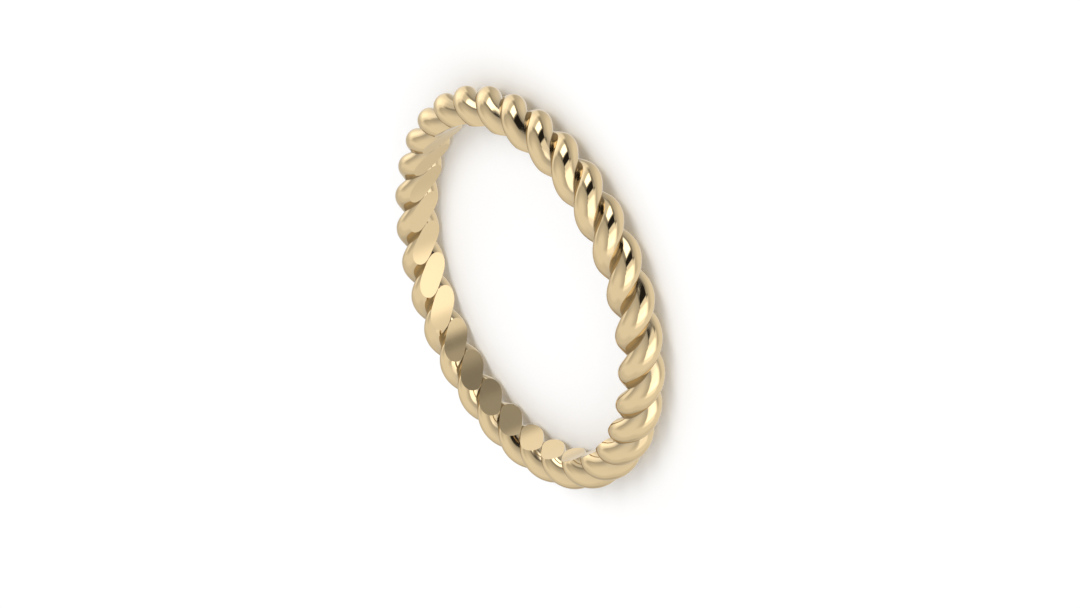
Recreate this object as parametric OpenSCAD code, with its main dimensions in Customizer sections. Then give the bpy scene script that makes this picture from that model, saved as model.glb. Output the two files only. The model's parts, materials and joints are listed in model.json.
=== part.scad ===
// Rope twist ring: a plain gold finger ring in the form of a twisted rope.
// Two strands wind round each other, melt together along the grooves between them and close into a hoop.
// A straight round finger hole is bored through, so every turn of a strand has a smooth flat on its inside.
// The ring lies flat as it rests: +Z is the axis of the finger hole, and Z = 0 is the surface under it.

/* [Finger hole] */
// Inside diameter of the ring, which is its finger size
finger_d = 17.3; // [14:0.1:22]
// How far the finger hole cuts into the round inside of the rope
inside_cut = 0.46; // [0.2:0.01:0.6]

/* [Rope] */
// Thickness of the rope over all its strands, and so the width of the band
rope_d = 2.2; // [1.8:0.05:2.6]
// Number of strands wound round each other
strand_count = 2; // [2:1:4]
// Turns of the twist in one trip round the ring
twist_turns = 15; // [9:1:24]
// Direction of the twist
twist_hand = -1; // [-1:2:1]

/* [Strand] */
// Size of one strand's oval section, measured straight out from the middle of the rope
strand_depth = 1.39; // [1.2:0.01:1.7]
// Size of the same section, measured across
strand_width = 1.53; // [1.3:0.01:1.8]

/* [Hidden] */

// Radii of the finger hole and of the rope, and of the circle that the middle of the rope follows
finger_r = finger_d / 2;
rope_r = rope_d / 2;
hoop_r = finger_r + rope_r - inside_cut;

// Distance from the middle of the rope to the middle of a strand
strand_offset = rope_r - strand_depth / 2;

// Two strands meet on the line halfway between them, at this angle from a strand's own direction
meeting_angle = 180 / strand_count;

// Place on a strand's oval where that line cuts it, as an angle from the oval's outermost point
across_part = strand_width / 2 * cos(meeting_angle);
depth_part = strand_depth / 2 * sin(meeting_angle);
groove_reach = -strand_offset * sin(meeting_angle) / norm([across_part, depth_part]);
groove_angle = acos(groove_reach) - atan2(across_part, depth_part);

// Fineness of the surface: points round the rope, and sections along it
points_limit = 24;
sections_limit = 240;
strand_points = floor(points_limit / strand_count);
profile_points = strand_points * strand_count;
section_count = twist_turns * floor(sections_limit / twist_turns);
bore_faces = 180;

// A point of the rope's section, [out, across] from the middle of the rope, before the twist turns it
function on_strand(q) = [
    strand_offset + strand_depth / 2 * cos(q),
    strand_width / 2 * sin(q)
];

// A plane point turned by an angle
function turned(p, angle) = [
    p[0] * cos(angle) - p[1] * sin(angle),
    p[0] * sin(angle) + p[1] * cos(angle)
];

// Outline of the rope's section: the outer part of each strand's oval, groove to groove
rope_profile = [
    for (strand = [0 : strand_count - 1])
        for (i = [0 : strand_points - 1])
            turned(
                on_strand(groove_angle * (2 * i / strand_points - 1)),
                360 * strand / strand_count
            )
];

// The section turns with the twist while it travels round the hoop
function hoop_point(p, travel) =
    let (q = turned(p, twist_hand * twist_turns * travel))
    [(hoop_r + q[0]) * cos(travel), (hoop_r + q[0]) * sin(travel), rope_r + q[1]];

rope_points = [
    for (s = [0 : section_count - 1])
        for (p = rope_profile)
            hoop_point(p, 360 * s / section_count)
];

// Number of the point at section s and place i, both counted round their loops
function point_at(s, i) = (s % section_count) * profile_points + i % profile_points;

// Two triangles between four neighbouring points, split along the shorter diagonal
function skin_patch(s, i) =
    let (
        a = point_at(s, i),
        b = point_at(s + 1, i),
        c = point_at(s + 1, i + 1),
        d = point_at(s, i + 1),
        along_ac = norm(rope_points[a] - rope_points[c]),
        along_bd = norm(rope_points[b] - rope_points[d])
    )
    along_ac < along_bd ? [[a, b, c], [a, c, d]] : [[a, b, d], [b, c, d]];

rope_faces = [
    for (s = [0 : section_count - 1])
        for (i = [0 : profile_points - 1])
            each skin_patch(s, i)
];

// The closed rope, still round on the inside
module twisted_rope() {
    polyhedron(points = rope_points, faces = rope_faces, convexity = 12);
}

// The straight hole for the finger
module finger_hole() {
    translate([0, 0, -rope_r])
        cylinder(h = 4 * rope_r, r = finger_r, $fn = bore_faces);
}

// The whole ring is one piece of metal
module rope_band() {
    color("#e0c898")
        difference() {
            twisted_rope();
            finger_hole();
        }
}

rope_band();
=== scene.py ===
# %% [markdown]
# # A gold ring twisted like a rope
#
# This lesson builds one finger ring in Blender. The real ring is a single casting: two round strands
# wind round each other, melt together in the grooves between them and close into a hoop. A straight
# hole for the finger is bored through it afterwards, which leaves a smooth flat on each turn.
#
# The construction already exists as a plain solid. It gives the sizes, and this script adds the looks: a
# fine skin, two finishes of polished gold, a pale floor, studio light and a camera.

# %% Load the frame
import json
import math

import bpy
import numpy as np
from mathutils import Matrix, Vector


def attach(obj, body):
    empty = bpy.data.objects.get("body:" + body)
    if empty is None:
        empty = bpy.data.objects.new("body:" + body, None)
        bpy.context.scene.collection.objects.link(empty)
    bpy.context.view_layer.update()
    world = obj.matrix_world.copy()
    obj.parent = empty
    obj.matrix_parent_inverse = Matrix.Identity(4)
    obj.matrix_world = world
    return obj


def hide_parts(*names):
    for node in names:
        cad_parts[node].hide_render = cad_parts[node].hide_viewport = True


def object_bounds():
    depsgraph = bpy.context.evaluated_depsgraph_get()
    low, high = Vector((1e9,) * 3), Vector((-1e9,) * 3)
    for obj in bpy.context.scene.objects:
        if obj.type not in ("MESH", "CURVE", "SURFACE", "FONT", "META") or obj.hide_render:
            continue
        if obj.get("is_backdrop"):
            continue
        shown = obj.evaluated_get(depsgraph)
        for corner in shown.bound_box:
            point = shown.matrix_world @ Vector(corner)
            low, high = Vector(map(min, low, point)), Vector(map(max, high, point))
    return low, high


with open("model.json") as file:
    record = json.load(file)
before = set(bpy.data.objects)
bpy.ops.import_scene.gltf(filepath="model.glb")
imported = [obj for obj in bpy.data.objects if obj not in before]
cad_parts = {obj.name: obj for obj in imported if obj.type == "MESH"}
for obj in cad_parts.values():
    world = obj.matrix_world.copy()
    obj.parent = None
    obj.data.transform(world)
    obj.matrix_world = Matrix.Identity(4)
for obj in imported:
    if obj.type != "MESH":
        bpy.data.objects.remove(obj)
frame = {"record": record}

cad_low, cad_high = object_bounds()
print("the solid reaches from", tuple(cad_low), "to", tuple(cad_high))

# %% [markdown]
# ## Sizes from the solid
#
# Nothing is measured twice. The ring lies on its side, so its height is the thickness of the rope, and
# half its length is the distance from the axis to a crest. The finger hole is stated in the part's
# record. The circle that the middle of the rope follows is then one rope radius inside the crests.

# %% Measure the ring
MM = 0.001
finger_hole = next(m for m in frame["record"]["mounts"] if m["name"] == "finger_hole")
finger_radius = finger_hole["dims"]["r_mm"] * MM
rope_radius = (cad_high.z - cad_low.z) / 2
crest_radius = (cad_high.x - cad_low.x) / 2
hoop_radius = crest_radius - rope_radius
ring_middle = Vector((0, 0, cad_low.z + rope_radius))
print(f"finger hole {2 * finger_radius / MM:.2f} mm, rope {2 * rope_radius / MM:.2f} mm thick")
print(f"middle of the rope runs {hoop_radius / MM:.2f} mm from the axis")

# %% [markdown]
# ## The section of the rope
#
# Cut a twisted rope across and each strand shows as an oval, because the cut meets the round wire at a
# slant. One oval is described by its depth, straight out from the middle of the rope, and its width.
# Both are the solid's own, like the number of strands and turns. Two neighbours meet on the line halfway
# between them, and there the groove is. Only the part of each oval outside that line is skin, so the
# outline runs from groove to groove.

# %% Draw the outline of one strand
STRANDS = 2
TURNS = 15
TWIST_HAND = -1
strand_depth = 1.39 * MM
strand_width = 1.53 * MM
strand_offset = rope_radius - strand_depth / 2
POINTS_PER_STRAND = 50


def strand_outline():
    """Distance from the middle of the rope and direction, groove to groove, both ends included."""
    half_way = math.pi / STRANDS
    across = strand_width / 2 * math.cos(half_way)
    depth = strand_depth / 2 * math.sin(half_way)
    reach = -strand_offset * math.sin(half_way) / math.hypot(across, depth)
    groove = math.acos(reach) - math.atan2(across, depth)
    angle = np.linspace(-groove, groove, POINTS_PER_STRAND + 1)
    out = strand_offset + strand_depth / 2 * np.cos(angle)
    sideways = strand_width / 2 * np.sin(angle)
    return np.hypot(out, sideways), np.arctan2(sideways, out)


outline_distance, outline_direction = strand_outline()
groove_distance = float(outline_distance.min())
print(f"crests stand {outline_distance.max() / MM:.2f} mm and grooves {groove_distance / MM:.2f} mm out")

# %% [markdown]
# ## The rope
#
# A sweep along a curve would smear the grooves, and subdivision would round them away. Here the section
# is set down again and again round the hoop, turned a little further each time, and the rows of points
# are joined into one closed sheet of four-sided faces. The columns of points follow the twist, so each
# groove runs exactly along edges.

# %% Set the sections down
SECTIONS = 1080


def rope_rows(sections):
    """Points of the skin: one row for each section, one column for each place round the rope."""
    travel = np.arange(sections)[:, None] * 2 * math.pi / sections
    columns = [outline_direction[:-1] + 2 * math.pi * s / STRANDS for s in range(STRANDS)]
    distance = np.tile(outline_distance[:-1], STRANDS)[None]
    direction = np.concatenate(columns)[None] + TWIST_HAND * TURNS * travel
    radius = hoop_radius + distance * np.cos(direction)
    height = ring_middle.z + distance * np.sin(direction)
    return np.stack([radius * np.cos(travel), radius * np.sin(travel), height], axis=-1)


rope_points = rope_rows(SECTIONS)
print("the rope has {} sections with {} points each".format(*rope_points.shape[:2]))

# %% Join them into one skin
def new_object(name, mesh):
    piece = bpy.data.objects.new(name, mesh)
    bpy.context.collection.objects.link(piece)
    return piece


def join_rows(name, rows):
    """One four-sided face between each pair of neighbouring rows and columns, closed both ways."""
    number = np.arange(rows[..., 0].size).reshape(rows.shape[:2])
    next_row = np.roll(number, -1, axis=0)
    corners = [number, next_row, np.roll(next_row, -1, axis=1), np.roll(number, -1, axis=1)]
    faces = np.stack(corners, axis=-1).reshape(-1, 4)
    mesh = bpy.data.meshes.new(name)
    mesh.from_pydata(rows.reshape(-1, 3).tolist(), [], faces.tolist())
    return new_object(name, mesh)


gold_rope = join_rows("gold_rope", rope_points)
print("the rope has", len(gold_rope.data.polygons), "faces before drilling")

# %% [markdown]
# ## Polished gold
#
# Gold of this paleness is an alloy, warm but light. It is a metal, so its colour is the tint of its
# mirror. Seen at a glance along the surface, every mirror turns pale. The marks of the polish hold that
# back a little, so the tint at the edges is set below white.
#
# The ring has two finishes. The strands are polished on a wheel, which leaves a faint haze and fine lines
# along the twist. The wheel can't reach the bottom of a groove, so the gold there stays duller. It is also
# painted darker there, as the shade that the strands throw on each other.
# The finger hole is rubbed smooth with something round, so its marks run round the hole and its shine is
# softer.
#
# Both finishes are worked out from where a point lies on the ring. They need no pictures and no
# unwrapping, and the marks follow the rope exactly. First come a few helpers that make single nodes.

# %% Small helpers for shader nodes
NOISE_DETAIL = 3.0


def math_node(nodes, links, operation, *values):
    """A Math node. Each value is a number or the output of another node."""
    node = nodes.new("ShaderNodeMath")
    node.operation = operation
    for socket, value in zip(node.inputs, values):
        if isinstance(value, (int, float)):
            socket.default_value = value
        else:
            links.new(value, socket)
    return node.outputs[0]


def length_of(nodes, links, a, b):
    squares = [math_node(nodes, links, "MULTIPLY", value, value) for value in (a, b)]
    return math_node(nodes, links, "SQRT", math_node(nodes, links, "ADD", *squares))


def noise(nodes, links, coordinates, scale=1.0):
    node = nodes.new("ShaderNodeTexNoise")
    links.new(coordinates, node.inputs["Vector"])
    node.inputs["Scale"].default_value = scale
    node.inputs["Detail"].default_value = NOISE_DETAIL
    return node.outputs["Fac"]


print("helpers ready:", math_node.__name__, length_of.__name__, noise.__name__)

# %% Mix the bare gold
GOLD = (0.735, 0.570, 0.332, 1)
EDGE_TINT = (0.89, 0.86, 0.80, 1)
MARK_DEPTH = 0.0008 * MM
MARK_STRENGTH = 0.1
MARK_BREAKS_PER_METRE = 500.0


def bare_gold(name):
    """A new gold, with its nodes, its links and the place of a point on the ring."""
    material = bpy.data.materials.new(name)
    material.use_nodes = True
    nodes, links = material.node_tree.nodes, material.node_tree.links
    metal = nodes["Principled BSDF"]
    metal.inputs["Metallic"].default_value = 1.0
    metal.inputs["Base Color"].default_value = GOLD
    metal.inputs["Specular Tint"].default_value = EDGE_TINT
    place = nodes.new("ShaderNodeTexCoord").outputs["Object"]
    return material, nodes, links, metal, place


def scratch(nodes, links, metal, marks):
    """Press the marks into the metal's surface, far finer than the mesh."""
    relief = nodes.new("ShaderNodeBump")
    relief.inputs["Strength"].default_value = MARK_STRENGTH
    relief.inputs["Distance"].default_value = MARK_DEPTH
    links.new(marks, relief.inputs["Height"])
    links.new(relief.outputs["Normal"], metal.inputs["Normal"])


print("gold mirrors red, green and blue as", GOLD[:3])

# %% [markdown]
# ## Where a point lies on the rope
#
# Two numbers place a point: how far it is from the middle of the rope, and which line of the twist it
# is on. The second is its direction round the rope with the twist taken back out, so it stays the same
# all along one line of a strand. The cosine and sine of that direction close the pattern up without a
# seam.

# %% Find the place on the rope
GROOVE_FALLOFF = 2.5
LINES_ROUND_ROPE = 9.0


# How far down a groove a point lies. This sets both the painted shade towards the bottom of each groove
# and the extra roughness there.
def groove_shade_and_roughness(nodes, links, outward, upward):
    """1 at the bottom of a groove, falling quickly to 0 on the crest of a strand."""
    height = nodes.new("ShaderNodeMapRange")
    links.new(length_of(nodes, links, outward, upward), height.inputs["Value"])
    height.inputs["From Min"].default_value = groove_distance
    height.inputs["From Max"].default_value = rope_radius
    height.inputs["To Min"].default_value = 1.0
    height.inputs["To Max"].default_value = 0.0
    return math_node(nodes, links, "POWER", height.outputs["Result"], GROOVE_FALLOFF)


def strand_marks(nodes, links, place, travel, outward, upward):
    """Noise drawn out into fine lines along the strands."""
    turned = math_node(nodes, links, "ARCTAN2", upward, outward)
    line = math_node(nodes, links, "MULTIPLY_ADD", travel, -TWIST_HAND * TURNS, turned)
    around = nodes.new("ShaderNodeCombineXYZ")
    for operation, socket in (("COSINE", 0), ("SINE", 1)):
        value = math_node(nodes, links, operation, line)
        links.new(math_node(nodes, links, "MULTIPLY", value, LINES_ROUND_ROPE), around.inputs[socket])
    drawn_out = nodes.new("ShaderNodeVectorMath")
    drawn_out.operation = "MULTIPLY_ADD"
    links.new(place, drawn_out.inputs[0])
    drawn_out.inputs[1].default_value = [MARK_BREAKS_PER_METRE] * 3
    links.new(around.outputs[0], drawn_out.inputs[2])
    return noise(nodes, links, drawn_out.outputs[0])


print(f"a groove is {(rope_radius - groove_distance) / MM:.2f} mm deep and darkest at its bottom")

# %% [markdown]
# ## The two finishes
#
# Roughness is the blur of the mirror: 0 is perfect and 1 is chalk. A jeweller's polish sits just above 0,
# and the marks and the haze move it up and down a little, which is what keeps it from looking like a
# computer's chrome. The bottom of a groove keeps some of the dull skin of the casting, so the gold is
# mixed rougher there. It is also mixed darker there, as painted shade where the strands shade each other.
# The wall of the hole is blurred more, by marks that run round it.

# %% Polish the strands
# The darker gold is painted into the grooves as shade.
GROOVE_SHADE_GOLD = (0.560, 0.455, 0.300, 1)
HAZE_PER_METRE = 900.0
STRAND_ROUGHNESS = 0.015
STRAND_HAZE = 0.03
STRAND_MARKS = 0.02
GROOVE_ROUGHNESS = 0.15


def polished_gold():
    material, nodes, links, metal, place = bare_gold("polished gold")
    split = nodes.new("ShaderNodeSeparateXYZ")
    links.new(place, split.inputs[0])
    x, y, z = split.outputs
    outward = math_node(nodes, links, "SUBTRACT", length_of(nodes, links, x, y), hoop_radius)
    upward = math_node(nodes, links, "SUBTRACT", z, ring_middle.z)
    travel = math_node(nodes, links, "ARCTAN2", y, x)
    groove = groove_shade_and_roughness(nodes, links, outward, upward)
    marks = strand_marks(nodes, links, place, travel, outward, upward)

    # Painted shade: the gold is mixed towards the darker gold towards the bottom of each groove.
    tint = nodes.new("ShaderNodeMix")
    tint.data_type = "RGBA"
    tint.inputs["A"].default_value = GOLD
    tint.inputs["B"].default_value = GROOVE_SHADE_GOLD
    links.new(groove, tint.inputs["Factor"])
    links.new(tint.outputs["Result"], metal.inputs["Base Color"])

    haze = noise(nodes, links, place, scale=HAZE_PER_METRE)
    rough = math_node(nodes, links, "MULTIPLY_ADD", haze, STRAND_HAZE, STRAND_ROUGHNESS)
    rough = math_node(nodes, links, "MULTIPLY_ADD", marks, STRAND_MARKS, rough)
    rough = math_node(nodes, links, "MULTIPLY_ADD", groove, GROOVE_ROUGHNESS, rough)
    links.new(rough, metal.inputs["Roughness"])
    scratch(nodes, links, metal, marks)
    return material


strand_finish = polished_gold()
print(strand_finish.name, "is made of", len(strand_finish.node_tree.nodes), "nodes")

# %% Smooth the wall of the hole
HOLE_ROUGHNESS = 0.10
HOLE_MARKS = 0.08
HOLE_MARKS_PER_METRE = 20 / MM


def satin_gold():
    material, nodes, links, metal, place = bare_gold("satin gold")
    squeezed = nodes.new("ShaderNodeMapping")
    links.new(place, squeezed.inputs["Vector"])
    scale = (MARK_BREAKS_PER_METRE, MARK_BREAKS_PER_METRE, HOLE_MARKS_PER_METRE)
    squeezed.inputs["Scale"].default_value = scale
    marks = noise(nodes, links, squeezed.outputs["Vector"])
    rough = math_node(nodes, links, "MULTIPLY_ADD", marks, HOLE_MARKS, HOLE_ROUGHNESS)
    links.new(rough, metal.inputs["Roughness"])
    scratch(nodes, links, metal, marks)
    return material


hole_finish = satin_gold()
print(hole_finish.name, "is made of", len(hole_finish.node_tree.nodes), "nodes")

# %% [markdown]
# ## The finger hole
#
# The real hole is cut after casting, and its wall is what lies on the finger. It is cut the same way
# here: a round drill is taken away from the rope with an exact boolean. That leaves a crisp rim round
# each of the thirty flats, which a sculpted surface would not. The drill is longer than the ring is high,
# so it comes out on both sides. The cut takes its finish from the drill, so the flats and the strands are
# polished differently. Sharp edges are then marked by their angle, and everything else is shaded smooth.

# %% Make the drill
DRILL_SIDES = 900


def make_drill():
    turn_by = np.arange(DRILL_SIDES) * 2 * math.pi / DRILL_SIDES
    circle = np.stack([finger_radius * np.cos(turn_by), finger_radius * np.sin(turn_by)], axis=1)
    count = DRILL_SIDES
    low = [(x, y, cad_low.z - rope_radius) for x, y in circle]
    high = [(x, y, cad_high.z + rope_radius) for x, y in circle]
    sides = [(i, (i + 1) % count, count + (i + 1) % count, count + i) for i in range(count)]
    ends = [tuple(reversed(range(count))), tuple(range(count, 2 * count))]
    mesh = bpy.data.meshes.new("drill")
    mesh.from_pydata(low + high, [], sides + ends)
    mesh.materials.append(hole_finish)
    return new_object("drill", mesh)


drill = make_drill()
print(f"the drill is {drill.dimensions.x / MM:.1f} mm thick and {drill.dimensions.z / MM:.1f} mm long")

# %% Drill the finger hole
SHARP_FROM = math.radians(20)


def drill_hole(piece, drill):
    cut = piece.modifiers.new("finger hole", "BOOLEAN")
    cut.operation = "DIFFERENCE"
    cut.solver = "EXACT"
    cut.material_mode = "TRANSFER"
    cut.object = drill
    drilled = piece.evaluated_get(bpy.context.evaluated_depsgraph_get())
    piece.data = bpy.data.meshes.new_from_object(drilled)
    piece.modifiers.clear()
    bpy.data.objects.remove(drill)


gold_rope.data.materials.append(strand_finish)
drill_hole(gold_rope, drill)
gold_rope.data.shade_smooth()
gold_rope.data.set_sharp_from_angle(angle=SHARP_FROM)
triangles = sum(len(face.vertices) - 2 for face in gold_rope.data.polygons)
print(gold_rope.name, "has", len(gold_rope.data.polygons), "faces,", triangles, "triangles")
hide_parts("rope_band")
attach(gold_rope, "root")

# %% [markdown]
# ## Floor
#
# A sheet of matt white card, three metres wide, so that no edge of it shows. It takes the ring's shadow
# but stays out of the ring's mirror: a ring photographed on a stand sees the studio all round, below it
# too, and a white sheet close under a lying ring would wash out the lower half of every strand.

# %% Lay the floor
FLOOR_SIZE = 3.0
CARD_WHITE = (0.92, 0.92, 0.92, 1)
CARD_ROUGHNESS = 0.8
CARD_SHINE = 0.2


def white_card():
    material = bpy.data.materials.new("white card")
    material.use_nodes = True
    card = material.node_tree.nodes["Principled BSDF"]
    card.inputs["Base Color"].default_value = CARD_WHITE
    card.inputs["Roughness"].default_value = CARD_ROUGHNESS
    card.inputs["Specular IOR Level"].default_value = CARD_SHINE
    return material


def lay_floor():
    half = FLOOR_SIZE / 2
    corners = [(-half, -half, 0), (half, -half, 0), (half, half, 0), (-half, half, 0)]
    mesh = bpy.data.meshes.new("floor")
    mesh.from_pydata(corners, [], [(0, 1, 2, 3)])
    mesh.materials.append(white_card())
    return new_object("floor", mesh)


floor = lay_floor()
floor.visible_glossy = False
floor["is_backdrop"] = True
print(f"the floor is {floor.dimensions.x:.1f} m wide and lies at height {floor.location.z:.1f}")

# %% [markdown]
# ## Studio light
#
# A polished ring shows nothing but its surroundings, so lighting it means building a room for it. The
# dome is even and pale. Grey walls round its middle shade the strands softly. A front lamp, a side lamp
# and a back lamp stand against the walls, each with a glow round it. Next to the front lamp a black flag
# draws the dark edge that makes the metal look wet.
#
# All of these are soft-edged windows painted on the dome, given in degrees: how far round the ring, and
# how high. The way round is 0 at the front and 90 at the right side, and it starts over at a seam that
# no window crosses. The windows reach about as far below the ring as above it, because the ring mirrors
# both. Each window covers the ones before it, so the list reads from the back of the room to the front.
#
# Only the ring sees the windows. Straight into the camera the dome is plain white. Light that has gone
# from strand to strand finds the dome dimmer, which keeps the grooves brown instead of orange. In a real
# studio, the ring's own shadow and its stand do the same.

# %% Shape one window
def fade(nodes, links, value, start, end):
    """0 before start, 1 after end and smooth between them. end may be the smaller one."""
    node = nodes.new("ShaderNodeMapRange")
    node.interpolation_type = "SMOOTHSTEP"
    links.new(value, node.inputs["Value"])
    low, high = sorted((start, end))
    node.inputs["From Min"].default_value = low
    node.inputs["From Max"].default_value = high
    node.inputs["To Min"].default_value = 0.0 if start < end else 1.0
    node.inputs["To Max"].default_value = 1.0 if start < end else 0.0
    return node.outputs["Result"]


def soft_window(nodes, links, azimuth, elevation, left, right, low, high, softness):
    """1 inside a window of the dome, 0 outside, with soft edges. Angles are in degrees."""
    sides = [
        fade(nodes, links, azimuth, left - softness, left + softness),
        fade(nodes, links, azimuth, right + softness, right - softness),
        fade(nodes, links, elevation, low - softness, low + softness),
        fade(nodes, links, elevation, high + softness, high - softness),
    ]
    inside = sides[0]
    for side in sides[1:]:
        inside = math_node(nodes, links, "MULTIPLY", inside, side)
    return inside


print("helpers ready:", fade.__name__, soft_window.__name__)

# %% Hang the windows
# name: left, right, low, high and softness in degrees, then brightness, with the plain dome at 1
DOME = 1.0
WINDOWS = {
    "upper wall": (-44, 164, -65, 65, 10, 0.87),
    "grey wall": (-36, 157, -54, 54, 9, 0.71),
    "darker wall": (-23, 147, -42, 42, 7, 0.60),
    "left wall": (184, 277, -41, 41, 10, 0.85),
    "low left wall": (200, 254, -14, 14, 10, 0.62),
    "far wall": (165, 206, -14, 20, 8, 0.76),
    "glow": (-51, 20, -22, 29.5, 7, 1.40),
    "glow below": (-41, 20, -36, -16, 6, 1.40),
    "front lamp": (-34, 8, -26, 30.5, 4.5, 1.93),
    "lamp heart": (-30, -13, -18, 18, 6, 2.25),
    "shade": (17.5, 103, -31.5, 30.5, 3, 0.38),
    "shade corner": (46, 69, -31.5, 30, 3, 0.275),
    "lamp's lower end": (5, 20, -34, -23, 5, 1.00),
    "lamp's upper end": (4, 19, 26.5, 38, 3, 0.60),
    "dark edge": (22.5, 29, -36, -23, 2, 0.29),
    "glimmer": (30.5, 41, -36, -23, 3, 0.52),
    "glow beside": (12, 28, -21, 22.5, 3, 1.10),
    "black flag": (29.5, 54.2, -22, 25.5, 1.8, 0.02),
    "right glow": (84, 110, -19, 19, 4, 0.85),
    "side lamp": (59.3, 87.5, -18.5, 18, 3.5, 2.7),
    "outer back lamp": (111, 161, -33, 30, 5, 1.16),
    "back lamp": (107, 148, -17, 18, 8, 1.42),
    "back lamp heart": (122, 150, -6, 17, 6, 1.65),
}
brightest = max(WINDOWS, key=lambda name: WINDOWS[name][-1])
print(len(WINDOWS), "windows, the brightest is the", brightest)

# %% Lay the windows over the dome
SEAM = -60.0


def dome_angles(nodes, links):
    """How far round and how high a ray meets the dome, in degrees."""
    split = nodes.new("ShaderNodeSeparateXYZ")
    links.new(nodes.new("ShaderNodeTexCoord").outputs["Generated"], split.inputs[0])
    x, y, z = split.outputs
    forward = math_node(nodes, links, "MULTIPLY", y, -1.0)
    azimuth = math_node(nodes, links, "DEGREES", math_node(nodes, links, "ARCTAN2", x, forward))
    azimuth = math_node(nodes, links, "WRAP", azimuth, SEAM + 360, SEAM)
    elevation = math_node(nodes, links, "DEGREES", math_node(nodes, links, "ARCSINE", z))
    return azimuth, elevation


def dome_brightness(nodes, links):
    azimuth, elevation = dome_angles(nodes, links)
    brightness = DOME
    for *limits, level in WINDOWS.values():
        inside = soft_window(nodes, links, azimuth, elevation, *limits)
        outside = math_node(nodes, links, "SUBTRACT", 1.0, inside)
        kept = math_node(nodes, links, "MULTIPLY", outside, brightness)
        brightness = math_node(nodes, links, "MULTIPLY_ADD", inside, level, kept)
    return brightness


print("the degrees round the ring run from", SEAM, "to", SEAM + 360)

# %% Paint the dome
WHITE = (1, 1, 1, 1)
DIM_AFTER_BOUNCE = 0.75
MORE_THAN_ONE_MIRROR = 1.5


def build_studio():
    world = bpy.data.worlds.new("studio")
    world.use_nodes = True
    nodes, links = world.node_tree.nodes, world.node_tree.links
    brightness = dome_brightness(nodes, links)
    path = nodes.new("ShaderNodeLightPath")
    mirrors = path.outputs["Glossy Depth"]
    bounced = math_node(nodes, links, "GREATER_THAN", mirrors, MORE_THAN_ONE_MIRROR)
    dimmed = math_node(nodes, links, "MULTIPLY_ADD", bounced, DIM_AFTER_BOUNCE - 1.0, 1.0)
    brightness = math_node(nodes, links, "MULTIPLY", brightness, dimmed)
    plain = path.outputs["Is Camera Ray"]
    away = math_node(nodes, links, "SUBTRACT", 1.0, plain)
    brightness = math_node(nodes, links, "MULTIPLY_ADD", away, brightness, plain)
    links.new(brightness, nodes["Background"].inputs["Strength"])
    nodes["Background"].inputs["Color"].default_value = WHITE
    bpy.context.scene.world = world
    return world


studio = build_studio()
print(studio.name, "is made of", len(studio.node_tree.nodes), "nodes")

# %% [markdown]
# ## Camera
#
# The camera looks at the lying ring at the angle at which the photograph looks at the standing one:
# 29 degrees above the plane of the ring. It is turned about its own line of sight as well, so that the
# ring stands in the picture the same way. The numbers come from fitting the ring's outline to the
# photograph. A long lens from about 13 centimetres away keeps the far side nearly as large as the near
# side.

# %% Place the camera
CAMERA_AZIMUTH = 10.69
CAMERA_ELEVATION = 29.44
CAMERA_ROLL = -111.99
CAMERA_DISTANCE = 126.05 * MM
FRAME_WIDTH_PX = 1080
SENSOR_WIDTH_MM = 36.0
FOCAL_PX = 2578.0
RING_FROM_MIDDLE_PX = (-16.5, 14.1)
NEAREST_SEEN = 1 * MM
FARTHEST_SEEN = 20.0


def turn(degrees, axis):
    return Matrix.Rotation(math.radians(degrees), 4, axis)


def place_camera():
    lens = bpy.data.cameras.new("camera")
    lens.sensor_width = SENSOR_WIDTH_MM
    lens.lens = FOCAL_PX / FRAME_WIDTH_PX * SENSOR_WIDTH_MM
    lens.clip_start = NEAREST_SEEN
    lens.clip_end = FARTHEST_SEEN
    camera = bpy.data.objects.new("camera", lens)
    bpy.context.collection.objects.link(camera)
    facing = turn(CAMERA_AZIMUTH, "Z") @ turn(90 - CAMERA_ELEVATION, "X") @ turn(CAMERA_ROLL, "Z")
    towards_ring = Vector((*RING_FROM_MIDDLE_PX, -FOCAL_PX))
    aside = towards_ring.rotation_difference(Vector((0, 0, -1))).to_matrix().to_4x4()
    back = facing @ Vector((0, 0, 1))
    place = Matrix.Translation(ring_middle + back * CAMERA_DISTANCE)
    camera.matrix_world = place @ facing @ aside
    bpy.context.scene.camera = camera
    return camera


camera = place_camera()
print(f"a {camera.data.lens:.0f} mm lens, {camera.location.z / MM:.0f} mm above the floor")

# %% [markdown]
# ## A lamp for the card
#
# A metal has no colour of its own that a lamp could light: it only mirrors. So a soft lamp that the
# mirror doesn't see changes nothing on the gold. It brightens the card and lays a soft shadow beside the
# ring. The picture's colours are then taken as they are, without a film's curve, so white stays white.

# %% Hang the lamp
LAMP_AZIMUTH = 70
LAMP_ELEVATION = 52
LAMP_STRENGTH = 0.95
LAMP_SOFTNESS = 35


def hang_lamp():
    lamp = bpy.data.lights.new("card lamp", "SUN")
    lamp.energy = LAMP_STRENGTH
    lamp.angle = math.radians(LAMP_SOFTNESS)
    hung = bpy.data.objects.new("card lamp", lamp)
    bpy.context.collection.objects.link(hung)
    hung.matrix_world = turn(LAMP_AZIMUTH, "Z") @ turn(90 - LAMP_ELEVATION, "X")
    hung.visible_glossy = False
    return hung


card_lamp = hang_lamp()
bpy.context.scene.view_settings.view_transform = "Standard"
print(card_lamp.name, "is", LAMP_SOFTNESS, "degrees wide")

# %% [markdown]
# ## A last check
#
# The visual ring must fill the same box as the solid, or it would float or cut into its neighbours when it
# is used. How far apart the corners of the two boxes lie is printed.

# %% Compare the sizes and finish
visual_low, visual_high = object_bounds()
apart = max((v - c).length for v, c in ((visual_low, cad_low), (visual_high, cad_high)))
print(f"the corners of the two boxes are at most {apart / MM:.3f} mm apart")
